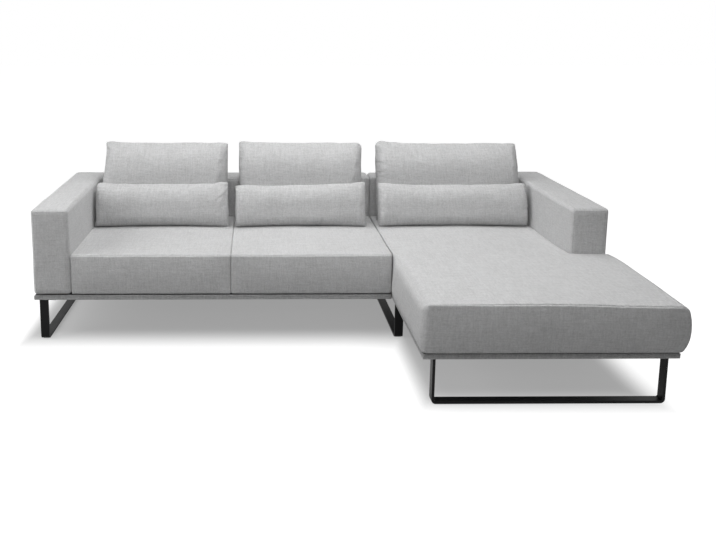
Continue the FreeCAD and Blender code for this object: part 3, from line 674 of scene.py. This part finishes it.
class SeatShape:
    """One boxed seat cushion: its outline, edges, bellies and crowned top.

    Only the chaise's has a notch, the right arm's place, and is as wide as its plinth."""

    def __init__(self, name, body, seed, front_height, notch=None):
        self.name = name
        self.body = body
        self.seed = seed
        self.front_height = front_height
        self.notch = notch
        low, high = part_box(name + "_seat_cover")
        wide_low, wide_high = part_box("chaise_plinth_cover") if notch else (low, high)
        self.x0 = wide_low.x
        self.x1 = wide_high.x
        self.y0 = low.y + seat_front_puff / 2
        self.y1 = high.y

    def narrowed(self, y):
        """From zero to one where the chaise gets narrower beside the right arm."""
        return smooth((y - self.notch[1] + notch_reach / 2) / notch_reach)

    def across(self, x, y):
        """From minus one to one over the seat's width between its neighbours."""
        right = self.x1
        if self.notch:
            right = right + (self.notch[0] - right) * self.narrowed(y)
        return np.clip((x - self.x0) / (right - self.x0) * 2 - 1, -1, 1)

    def corner_drop(self, x):
        """The front seam of the chaise falls towards its free corner."""
        if not self.notch:
            return 0 * x
        share = (x - self.x0) / (self.x1 - self.x0)
        return chaise_corner_drop * smooth((share - drop_start) / (1 - drop_start))

    def top(self, x, y):
        """Height of the crowned top."""
        front = np.clip(1 - (y - self.y0) / crown_reach, 0, 1) ** 2
        across = np.abs(self.across(x, y))
        sides = (seat_top - seam_height) * across ** 2.5
        if self.notch:
            near_corner = smooth(1 - (y - self.y0) / drop_reach) * smooth((across - 0.5) / 0.5)
            sides = sides * self.narrowed(y) + 0.4 * chaise_corner_drop * near_corner
        fall = (seat_top - self.front_height + self.corner_drop(x)) * front
        sink = cushion_sink * smooth((y - cushions_front) / cushions_reach) * (1 - across ** 6)
        return seat_top - fall - sides * (1 - front) - sink

    def make(self):
        low = np.array([self.x0, self.y0, unit_bottom])
        high = np.array([self.x1, self.y1, self.front_height])
        small = (seat_round,)
        rear = (seat_round, rear_round)
        if not self.notch:
            ends = ((small, small), (small, rear), (small, rear))
            marks = ((), (), ())
        else:
            ends = (((seat_round, left_corner, left_round), (seat_round, right_round)),
                    ((seat_round, left_corner), rear),
                    (small, (*rear, right_round, left_round)))
            marks = ((self.notch[0],), (self.notch[1],), ())
        xs, ys, zs = [ticks(low[axis], high[axis], seat_step, ends[axis], marks[axis])
                      for axis in range(3)]
        sharp, quads, axes = lattice(xs, ys, zs, self.notch)
        places = flat_places(sharp, quads, axes)
        points = sharp + self.rounding(sharp, low, high)
        self.add_bellies(sharp, points, low, high)
        rise = self.top(points[:, 0], points[:, 1]) - self.front_height
        points[:, 2] += rise * np.clip((points[:, 2] - low[2]) / (high[2] - low[2]), 0, 1)
        points += self.cloth_relief(sharp, points, quads, low, high)
        return build(self.name + "_seat_upholstery", points, quads, places)

    def rounding(self, sharp, low, high):
        """Moves that round each edge of the sharp block with its own radius."""
        left = (sharp[:, 0] - low[0], (-1, 0, 0))
        right = (high[0] - sharp[:, 0], (1, 0, 0))
        front = (sharp[:, 1] - low[1], (0, -1, 0))
        rear = (high[1] - sharp[:, 1], (0, 1, 0))
        foot = (sharp[:, 2] - low[2], (0, 0, -1))
        top = (high[2] - sharp[:, 2], (0, 0, 1))
        small = [(front, top), (left, rear), (left, foot), (front, foot), (rear, foot)]
        edges = [(rear, top, rear_round)]
        if not self.notch:
            small += [(left, top), (left, front), (right, top), (right, front), (right, rear),
                      (right, foot)]
        else:
            ahead = smooth((self.notch[1] + left_fade_end - sharp[:, 1]) / left_fade)
            at_front = 1 - smooth((sharp[:, 1] - low[1]) / front_fade)
            left_edge = seat_round + (left_round - seat_round) * ahead * (1 - 0.6 * at_front)
            slack = 0.0001
            behind = sharp[:, 1] > self.notch[1] - slack
            beyond = sharp[:, 0] > self.notch[0] - slack
            far = 1.0
            free = (np.where(behind & ~beyond, far, right[0]), right[1])
            inner = (np.where(behind, self.notch[0] - sharp[:, 0], far), right[1])
            step = (np.where(beyond, self.notch[1] - sharp[:, 1], far), rear[1])
            small += [(free, foot), (inner, top), (step, top), (inner, rear)]
            edges += [(left, top, left_edge), (left, front, np.minimum(left_edge, left_corner)),
                      (free, top, right_round), (free, front, right_corner),
                      (free, step, right_corner)]
        edges += [(a, b, seat_round) for a, b in small]
        moves = np.zeros_like(sharp)
        for (distance_a, out_a), (distance_b, out_b), radius in edges:
            pull_a, pull_b = pulled_in(distance_a, distance_b, radius)
            moves -= np.outer(pull_a, out_a) + np.outer(pull_b, out_b)
        return moves

    def add_bellies(self, sharp, points, low, high):
        """Swells the free sides and the front."""
        height = np.clip((sharp[:, 2] - low[2]) / (high[2] - low[2]), 0, 1)
        share = (sharp[:, 0] - low[0]) / (high[0] - low[0])
        y = sharp[:, 1]
        if self.notch:
            to_arm = smooth((y - low[1]) / (self.notch[1] - low[1]))
            right = belly(height, fullest=0.45, top_loss=0.65 - 0.37 * to_arm, top_power=2.3,
                          foot_loss=0.75, foot_power=2.3)
            right *= smooth(1 - (1 - share) / swell_reach)
            points[:, 0] += chaise_right_swell * right
            left = belly(height, fullest=0.25, top_loss=0.9, top_power=1.5,
                         foot_loss=0.6, foot_power=2)
            left *= (0.6 + 0.4 * to_arm) * smooth(1 - share / swell_reach)
            ahead = smooth((self.notch[1] - 0.002 - y) / 0.09)
            points[:, 0] -= chaise_left_swell * left * ahead
        front = np.clip(1 - (y - low[1]) / front_puff_reach, 0, 1)
        bulge = np.sin(math.pi * height) ** 0.8 * (1 - np.abs(share * 2 - 1) ** 8)
        points[:, 1] -= seat_front_puff * front * bulge

    def cloth_relief(self, sharp, points, quads, low, high):
        """Seam along the upper front edge, puckers beside it and uneven filling."""
        out = outward(points, quads)
        to_edge = (sharp[:, 1] - low[1]) + (high[2] - sharp[:, 2])
        share = (sharp[:, 0] - low[0]) / (high[0] - low[0])
        sewn = 1.0
        if self.notch:
            sewn = smooth((share - 0.05) / 0.3)
        pucker = Ripple(self.seed, 0.014, 0.045)
        fold = Ripple(self.seed + 1, 0.03, 0.09)
        x = sharp[:, 0]
        groove = sewn * 1.5 * seam_depth * near(to_edge - 0.002, seam_width)
        ripple = seat_pucker * pucker(x) * near(to_edge, seat_pucker_reach)
        ripple += seat_fold * fold(x) * near(to_edge, seat_fold_reach)
        ripple *= 0.3 + 0.7 * sewn
        upward = np.clip(out[:, 2], 0, 1)
        forward = np.clip(-out[:, 1], 0, 1)
        drift = seat_drift * unevenness(sharp, self.seed + 2, 0.12, 0.34)
        drift *= upward + 0.6 * forward
        creases = seat_creases * unevenness(sharp * (1, 1, 2.2), self.seed + 3, 0.035, 0.09)
        creases *= forward
        return out * (ripple + drift + creases - groove)[:, None]


arm_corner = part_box("right_arm_cover")[0]
seats = {
    "left": SeatShape("left", "sofa_module", 31, seam_height),
    "middle": SeatShape("middle", "sofa_module", 32, seam_height),
    "chaise": SeatShape("chaise", "chaise_module", 33, chaise_front_height,
                        (arm_corner.x - arm_clear, arm_corner.y - arm_clear)),
}


def make_seats():
    for name, seat in seats.items():
        nodes = [name + "_seat_cover", name + "_seat_core"]
        finish_piece(seat.make(), seat.body, nodes)


# Loose cushions


def fullness(share):
    """Rises steeply from zero at a seam and levels out at one."""
    share = np.clip(share, 0, 1)
    return (1 - (1 - share) ** 2.1) ** 0.72


class Pillow:
    """One loose cushion: two panels sewn together, leaning on a plane behind it.

    Sides are how far the left and the right seam stand out at the foot, at half height, at
    four fifths and at the top, in millimetres. Gathers are short folds that run in from a side
    seam: its side, their share of the height, slope, length and depth. The head seam sags in
    the middle, rises to the right and drops at the right end."""

    def __init__(self, side, kind, seed, left, right, raised=0.0, corners=(0.012, 0.012),
                 sag=0.004, rise=0.0, drop=0.0, gathers=()):
        self.name = f"{side}_{kind}_pillow"
        self.body = f"{side}_{kind}_cushion"
        self.seat = seats["chaise" if side == "right" else side]
        size = pillow_sizes[kind]
        low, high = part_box(self.body + "_cover")
        self.left = low.x - size["widening"]
        self.right = high.x + size["widening"]
        self.width = self.right - self.left
        self.height = (size["top"] + raised - seam_height) / math.cos(cushion_lean)
        self.thickness = size["thickness"]
        self.plane_y = size["plane_y"]
        self.taper = size["taper"]
        self.head_reach = size["head_reach"] * self.height
        self.foot_reach = size["foot_reach"] * self.height
        heights = (0, 0.5, 0.8, 1)
        self.left_line = np.polyfit(heights, np.array(left) * mm, 3)
        self.right_line = np.polyfit(heights, np.array(right) * mm, 3)
        self.seed = seed
        self.corners = corners
        self.sag = sag
        self.rise = rise
        self.drop = drop
        self.gathers = gathers

    def panel(self, s, t, front):
        """Points of one panel: across, up the lean and out from the plane behind."""
        wave = Ripple(self.seed, 0.07, 0.3)
        top = self.height - self.sag * np.sin(math.pi * s) + self.rise * (s - 0.5)
        top = top + head_waver * wave(s * 0.7) - self.drop * smooth((s - 0.7) / 0.3)
        to_side = np.minimum(s, 1 - s) * self.width
        top = top - corner_dip * near(to_side, corner_dip_reach)
        up = pillow_foot + (top - pillow_foot) * t
        share = np.clip(up / self.height, 0, 1)
        left = self.left - np.polyval(self.left_line, share) + side_waver * wave(3 + up)
        right = self.right + np.polyval(self.right_line, share) + side_waver * wave(5 + up)
        width = right - left
        x = left + width * s
        from_left = s * width
        from_right = (1 - s) * width
        from_top = top - up
        side = fullness(np.minimum(from_left, from_right) / self.taper)
        head = fullness(from_top / self.head_reach)
        foot = fullness((up - pillow_foot) / self.foot_reach)
        full = side * head * foot
        for inward, beside, radius in ((1, from_left, self.corners[0]),
                                       (-1, from_right, self.corners[1])):
            pull_side, pull_down = pulled_in(beside, from_top, radius)
            x = x + inward * pull_side
            up = up - pull_down
        seam = self.thickness * pillow_seam_share
        if front:
            out = seam + (self.thickness - seam) * full * (0.93 + 0.07 * np.sin(math.pi * s))
        else:
            out = seam * (1 - full)
        return x, up, out

    def puckers(self, s, t, front):
        """Small folds that run in from the seams, and the gathers."""
        from_left = s * self.width
        from_right = (1 - s) * self.width
        from_top = (1 - t) * self.height
        up = t * self.height
        offset = 0 if front else rear_seeds_apart
        fine = Ripple(self.seed + 1 + offset, 0.017, 0.030)
        wide = Ripple(self.seed + 2 + offset, 0.04, 0.11)
        total = np.zeros_like(s)
        for distance, along, strength in ((from_left, up, 1.0), (from_right, up + 3, 1.0),
                                          (from_top, from_left, 0.4)):
            start = 1 - np.exp(-distance / pucker_start)
            small = fine_pucker * fine(along) * np.exp(-distance / fine_pucker_reach)
            large = wide_pucker * wide(along) * np.exp(-distance / wide_pucker_reach)
            total += strength * (small + large) * start
        if front:
            for side, height, slope, length, depth in self.gathers:
                distance = from_left if side == "left" else from_right
                line = up - height * self.height - slope * distance
                fold = near(line, gather_width)
                fold -= 0.7 * near(line - gather_groove, gather_groove_width)
                total += gather_depth * depth * fold * near(distance, length)
        return total

    def skin(self, across, upward, moves=None):
        """Points, quads and flat places of the two panels joined at their seams."""
        s, t = np.meshgrid(across, upward, indexing="ij")
        points = []
        flats = []
        lean_sin = math.sin(cushion_lean)
        lean_cos = math.cos(cushion_lean)
        inside = fullness(np.minimum(s, 1 - s) * self.width / lump_reach)
        for front in (True, False):
            x, up, out = self.panel(s, t, front)
            sign = 1 if front else -1
            if moves is not None:
                out = out + sign * self.puckers(s, t, front)
            deep = np.full_like(x, 0 if front else rear_lumps_apart)
            spots = np.stack([x, up, deep], -1).reshape(-1, 3)
            lumps = unevenness(spots, self.seed + 5, 0.10, 0.28).reshape(s.shape)
            out = out + sign * lump_height * lumps * inside
            y = self.plane_y + up * lean_sin - out * lean_cos
            z = seam_height + up * lean_cos + out * lean_sin
            panel = np.stack([x, y, z], -1)
            if moves is not None:
                panel = panel + moves[0 if front else 1]
            points.append(panel)
            number = np.full_like(s, sign * pillow_panels_apart)
            flats.append(np.stack([s * self.width, t * self.height, number], -1))
        front_points, rear_points = points
        inner = np.zeros(s.shape, bool)
        inner[1:-1, 1:-1] = True
        front_points[~inner] = ((front_points + rear_points) / 2)[~inner]
        front_numbers = np.arange(s.size).reshape(s.shape)
        rear_numbers = front_numbers.copy()
        rear_numbers[inner] = s.size + np.arange(inner.sum())
        points = np.concatenate([front_points.reshape(-1, 3), rear_points[inner]])
        quads, places = [np.concatenate([grid_quads(front), grid_quads(rear)[:, ::-1]])
                         for front, rear in ((front_numbers, rear_numbers), flats)]
        return points, quads, places, (front_numbers, rear_numbers)

    def lines(self, step):
        """Shares across and up where the mesh lines are, closer together near the seams."""
        shares = []
        for length, crowding in ((self.width, across_crowding), (self.height, upward_crowding)):
            even = np.linspace(0, 1, round(length / step) + 1)
            shares.append(even - crowding * np.sin(2 * math.pi * even))
        return shares

    def make(self):
        across, upward = self.lines(pillow_step)
        moves = (0, 0)
        known_across, known_upward = self.lines(trial_step)
        points, quads, places, numbers = self.skin(known_across, known_upward)
        blown = blown_up(points, quads)
        weights_across = curve_weights(known_across, across)
        weights_upward = curve_weights(known_upward, upward)
        moves = [np.einsum("ai,ijk,bj->abk", weights_across, blown[grid], weights_upward)
                 for grid in numbers]
        points, quads, places, numbers = self.skin(across, upward, moves)
        return build(self.name, self.settle(points), quads, places, 1)

    def settle(self, points):
        """Rests the foot on the seat and keeps the rear in front of what it leans on."""
        behind = self.plane_y + (points[:, 2] - seam_height) * math.tan(cushion_lean) - 0.5 * mm
        points[:, 1] = np.minimum(points[:, 1], behind)
        floor = self.seat.top(points[:, 0], points[:, 1]) + rest_clear
        points[:, 2] = np.maximum(points[:, 2], floor)
        return points


def leaning_plane():
    """Where the plane behind the back cushions crosses the seam's height."""
    low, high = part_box("sofa_back_cover")
    bend_y = low.y + edge_round
    bend_z = high.z + block_rise - edge_round
    off = edge_round + slide_clear + (bend_z - seam_height) * math.sin(cushion_lean)
    return bend_y - off / math.cos(cushion_lean)


back_plane = leaning_plane()
lumbar_plane = back_plane - (back_thickness + slide_clear) / math.cos(cushion_lean)
# Reaches are over what depth a cushion gets to its full thickness: from its side seams in
# metres, from its head and foot as shares of its height
pillow_sizes = {
    "back": {"top": 0.908, "thickness": back_thickness, "plane_y": back_plane,
             "widening": 8 * mm, "taper": 0.055, "head_reach": 0.42, "foot_reach": 0.2},
    "lumbar": {"top": 0.692, "thickness": 0.122, "plane_y": lumbar_plane,
               "widening": 5 * mm, "taper": 0.042, "head_reach": 0.5, "foot_reach": 0.34},
}
pillows = (
    Pillow("left", "back", 41, left=(2, 3, -12.5, -12), right=(0, 2, 3, 6),
           corners=(0.016, 0.014), sag=0.003, drop=0.007, gathers=(
               ("left", 0.93, -0.8, 0.04, -2.6), ("left", 0.86, -0.5, 0.03, 1.8),
               ("right", 0.88, -0.6, 0.03, -2.2), ("left", 0.62, 0.3, 0.05, -2.0))),
    Pillow("middle", "back", 42, left=(0, 5, 7, 7), right=(0, 1, 1, 2),
           corners=(0.016, 0.034), drop=0.009, gathers=(
               ("left", 0.83, -0.3, 0.034, -2.8), ("left", 0.785, -0.15, 0.028, -2.2),
               ("left", 0.64, 0.05, 0.03, -2.4), ("left", 0.71, 0.1, 0.04, 1.6))),
    Pillow("right", "back", 43, left=(0, 6, 9, 10), right=(-4, -5, -15, -24),
           corners=(0.034, 0.012), sag=0.009, drop=0.012, gathers=(
               ("left", 0.74, -0.35, 0.045, -2.6), ("left", 0.68, -0.2, 0.04, 1.8),
               ("left", 0.66, 0.05, 0.035, -2.2), ("left", 0.6, 0.15, 0.05, -1.8),
               ("left", 0.56, 0.25, 0.055, 1.6))),
    Pillow("left", "lumbar", 44, left=(13, 7, 6, -5), right=(0, -2, -2, -1), raised=5 * mm,
           gathers=(
               ("right", 0.8, -0.75, 0.055, -3.4), ("left", 0.66, 0.4, 0.03, -2.0),
               ("right", 0.88, -0.5, 0.03, 2.0))),
    Pillow("middle", "lumbar", 45, left=(2, 2, 3, 4), right=(6, 0, 2, 2), raised=-3 * mm,
           sag=0.002, rise=0.018, gathers=(
               ("right", 0.55, -0.3, 0.03, -2.0), ("left", 0.35, 0.3, 0.03, -1.8))),
    Pillow("right", "lumbar", 46, left=(-6, 1, 3, 4), right=(10, 6, 2, -5), raised=-2 * mm,
           sag=0.003, gathers=(
               ("left", 0.8, -0.3, 0.025, -2.2), ("left", 0.68, -0.2, 0.025, -2.0),
               ("left", 0.4, -0.5, 0.05, -2.4), ("right", 0.45, -0.3, 0.03, -2.0))),
)


def make_pillows():
    for pillow in pillows:
        piece = pillow.make()
        # painted shade on the loose cushions' cloth
        give(piece.data, "painted_shade", pillows_painted_shade)
        finish_piece(piece, pillow.body, [pillow.body + "_cover", pillow.body + "_core"])


# Floor, light and camera


floor_colour = (0.30, 0.30, 0.30, 1)
# painted shadow: the floor's glow is lowered to this under the sofa
painted_shadow_glow = 0.325         # the floor's own glow under the sofa
floor_lines = np.sort([*np.linspace(-1.8, 1.8, 145), -30, -8, -3, 3, 8, 30])
# Reach of the painted shadow's fading from that to white, inside and outside each module's
# outline,
# in metres: at its left, right, front and rear
painted_shadow_fades = {
    "sofa": ((0.0, 0.12), (0.16, 0.03), (0.155, 0.26), (0.1, 0.1)),
    "chaise": ((0.09, 0.05), (0.16, 0.03), (0.18, 0.145), (0.1, 0.1)),
}


def floor_out_of_painted_shadow(points):
    """From zero under the sofa, where the painted shadow is full, to one away from it."""
    out_of_painted_shadow = np.ones(len(points))
    right_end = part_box("chaise_plinth_cover")[1].x
    for side, fades in painted_shadow_fades.items():
        low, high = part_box(side + "_plinth_cover")
        beyond = (low.x - points[:, 0], points[:, 0] - right_end,
                  low.y - points[:, 1], points[:, 1] - high.y)
        shares = [(distance + inside) / (inside + outside)
                  for distance, (inside, outside) in zip(beyond, fades)]
        out_of_painted_shadow = np.minimum(out_of_painted_shadow, smooth(np.max(shares, axis=0)))
    return out_of_painted_shadow


def pale_floor():
    """White by its own glow, which is weaker near the sofa: a painted shadow over the lamps' real
    shadow.
    """
    material = bpy.data.materials.new("pale_floor")
    tree = Tree(material)
    tree.nodes.clear()
    fade = tree.node("MapRange", {"Value": tree.attribute("out_of_painted_shadow", "Fac"),
                                  "To Min": painted_shadow_glow, "To Max": 1.0})
    strength = tree.maths("MULTIPLY", tree.seen(), fade.outputs[0])
    diffuse = tree.node("BsdfDiffuse", {"Color": floor_colour})
    glow = tree.node("Emission", {"Strength": strength})
    both = tree.node("AddShader", {0: diffuse.outputs[0], 1: glow.outputs[0]})
    tree.node("OutputMaterial", {"Surface": both.outputs[0]})
    return material


def make_floor():
    x, y = np.meshgrid(floor_lines, floor_lines, indexing="ij")
    points = np.stack([x.ravel(), y.ravel(), np.zeros(x.size)], 1)
    numbers = np.arange(x.size).reshape(x.shape)
    mesh = bpy.data.meshes.new("floor")
    mesh.from_pydata(points.tolist(), [], grid_quads(numbers).tolist())
    # painted shadow: the share of full glow at each point
    give(mesh, "out_of_painted_shadow", floor_out_of_painted_shadow(points))
    mesh.materials.append(pale_floor())
    put("floor", mesh)


world_fill = 0.02


def make_world():
    """White to the rays that look, a weak grey fill to those that light."""
    world = bpy.data.worlds.new("studio")
    bpy.context.scene.world = world
    tree = Tree(world)
    strength = tree.node("MapRange", {"Value": tree.seen(), "To Min": world_fill,
                                      "To Max": 1.0})
    background = tree.nodes["Background"]
    background.inputs["Color"].default_value = (1, 1, 1, 1)
    tree.links.new(strength.outputs[0], background.inputs["Strength"])


lamps = (   # name, place, target, size in metres and power in watts
    ("overhead_softbox", (0.12, -0.2, 2.9), (0.12, -0.2, 0.0), 3.2, 82),
    ("left_softbox", (-3.2, -0.6, 1.7), (0.0, 0.0, 0.4), 1.8, 45),
    ("right_softbox", (3.4, -0.2, 1.7), (0.0, 0.0, 0.4), 1.8, 8),
    ("front_softbox", (0.2, -4.6, 1.9), (0.0, 0.0, 0.4), 2.0, 35),
)


def make_lamps():
    for name, place, target, size, power in lamps:
        lamp = bpy.data.lights.new(name, "AREA")
        lamp.shape = "SQUARE"
        lamp.size = size
        lamp.energy = power
        holder = put(name, lamp)
        holder.location = place
        aim = Vector(target) - Vector(place)
        holder.rotation_euler = aim.to_track_quat("-Z", "Y").to_euler()
        holder.visible_camera = False


camera_place = (-0.3369, -3.8804, 1.5703)
camera_pitch = math.radians(9.253)
camera_yaw = math.radians(0.448)
camera_lens = 38.715
camera_shift = (95 / 716, -115 / 716)   # pixels over the picture's width


def make_camera():
    data = bpy.data.cameras.new("camera")
    data.sensor_width = 36.0
    data.lens = camera_lens
    data.shift_x, data.shift_y = camera_shift
    camera = put("camera", data)
    camera.location = camera_place
    camera.rotation_euler = (math.pi / 2 - camera_pitch, 0, -camera_yaw)
    bpy.context.scene.camera = camera


make_camera()
make_world()
make_lamps()
make_floor()
dress_cad_nodes()
make_plinths()
make_arms_and_backs()
make_seats()
make_pillows()
bpy.context.scene.view_settings.view_transform = "Standard"
